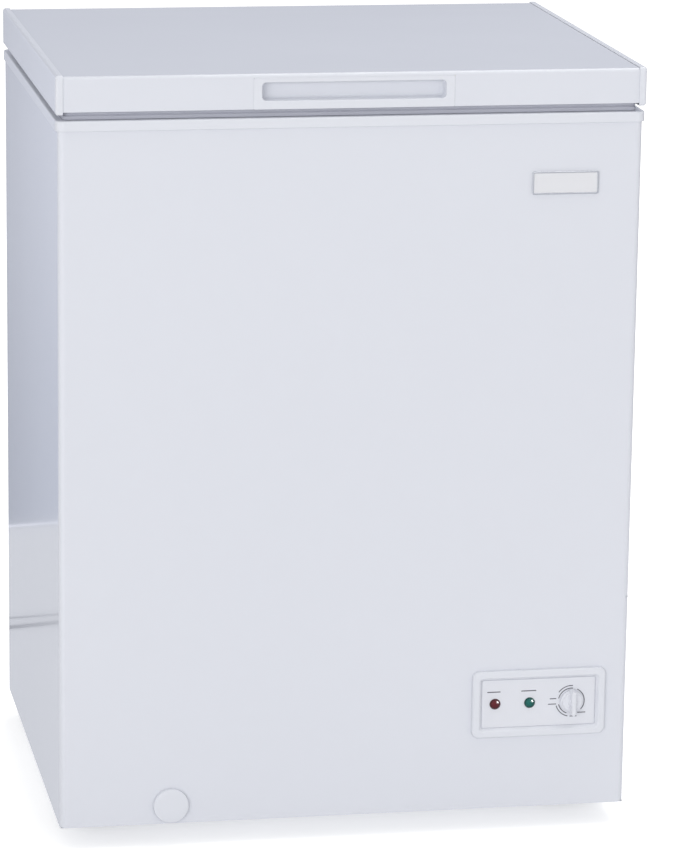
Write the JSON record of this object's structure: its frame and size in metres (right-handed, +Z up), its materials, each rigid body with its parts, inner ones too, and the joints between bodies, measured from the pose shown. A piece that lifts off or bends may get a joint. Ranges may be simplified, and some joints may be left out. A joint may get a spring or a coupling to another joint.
{
  "type": "chest freezer",
  "caption": "White chest freezer with a hinged lid, recessed front handle, low control panel with dial and signal lamps, front drain and sliding wire basket.",
  "frame": {"origin": "on the floor, under the middle of the closed freezer's bounding box", "axes": "+Z up, the front faces -Y, +X to the viewer's right"},
  "size_m": [0.635, 0.5578, 0.85],
  "materials": {
    "white_enamel": "gloss",
    "white_trim": "gloss",
    "white_panel": "satin",
    "zinc_steel": "satin",
    "bright_steel": "polished",
    "liner_aluminium": "satin",
    "foam": "matte",
    "black_enamel": "satin",
    "copper": "satin",
    "black_rubber": "matte",
    "dark_plastic": "matte",
    "gasket_vinyl": "matte",
    "red_lens": "gloss",
    "green_lens": "gloss",
    "satin_plate": "satin",
    "coated_wire": "satin",
    "spring_steel": "satin"
  },
  "bodies": {
    "cabinet": {"cabinet_shell": "white_enamel", "back_panel": "zinc_steel", "base_pan": "zinc_steel", "bay_panel": "zinc_steel", "compressor_tray": "zinc_steel", "cabinet_foam": "foam", "inner_liner": "liner_aluminium", "top_frame": "white_trim", "evaporator_coil": "liner_aluminium", "condenser_coil": "black_enamel", "compressor": "black_enamel", "compressor_grommets": "black_rubber", "compressor_bolts": "bright_steel", "relay_box": "dark_plastic", "filter_drier": "copper", "discharge_line": "copper", "suction_line": "copper", "capillary_tube": "copper", "side_grille": "white_trim", "rear_cover": "zinc_steel", "rear_cover_screws": "bright_steel", "cord_gland": "black_rubber", "wiring_loom": "black_rubber", "control_bezel": "white_trim", "control_fascia": "white_panel", "control_housing": "white_panel", "lamp_lens_red": "red_lens", "lamp_lens_green": "green_lens", "lamp_bodies": "white_panel", "thermostat": "zinc_steel", "thermostat_sensor": "copper", "thermostat_nut": "bright_steel", "badge_plate": "satin_plate", "drain_tube": "white_panel", "feet": "dark_plastic", "foot_screws": "bright_steel", "hinge_bases": "zinc_steel", "hinge_pins": "bright_steel", "hinge_base_screws": "bright_steel", "hinge_covers": "white_trim", "hinge_springs": "spring_steel"},
    "lid": {"lid_skin": "white_enamel", "lid_cap_left": "white_trim", "lid_cap_right": "white_trim", "lid_foam": "foam", "lid_panel": "white_panel", "lid_gasket": "gasket_vinyl", "lid_handle": "white_trim", "hinge_arms": "zinc_steel", "hinge_arm_screws": "bright_steel"},
    "dial": {"dial": "white_panel", "dial_shaft": "bright_steel"},
    "drain_cap": {"drain_cap": "white_trim"},
    "drain_plug": {"drain_plug": "dark_plastic"},
    "basket": {"basket_frame": "coated_wire", "basket_walls": "coated_wire", "basket_floor": "coated_wire", "basket_grips": "dark_plastic"}
  },
  "joints": [
    {"name": "lid_hinge", "type": "hinge", "parent": "cabinet", "child": "lid", "pos_m": [0, 0.2691, 0.815], "axis": [-1, 0, 0], "range_deg": [0, 80], "stiffness_Nm_per_rad": 3, "springref_deg": 80.21, "deforming": ["hinge_springs"]},
    {"name": "dial_turn", "type": "hinge", "parent": "cabinet", "child": "dial", "pos_m": [0.25255, -0.2649, 0.1455], "axis": [0, 1, 0], "range_deg": [-120, 150]},
    {"name": "drain_cap_pull", "type": "slide", "parent": "cabinet", "child": "drain_cap", "axis": [0, -1, 0], "range_m": [0, 0.03]},
    {"name": "drain_plug_lift", "type": "slide", "parent": "cabinet", "child": "drain_plug", "axis": [0, 0, 1], "range_m": [0, 0.04]},
    {"name": "basket_slide", "type": "slide", "parent": "cabinet", "child": "basket", "axis": [-1, 0, 0], "range_m": [0, 0.283]}
  ]
}
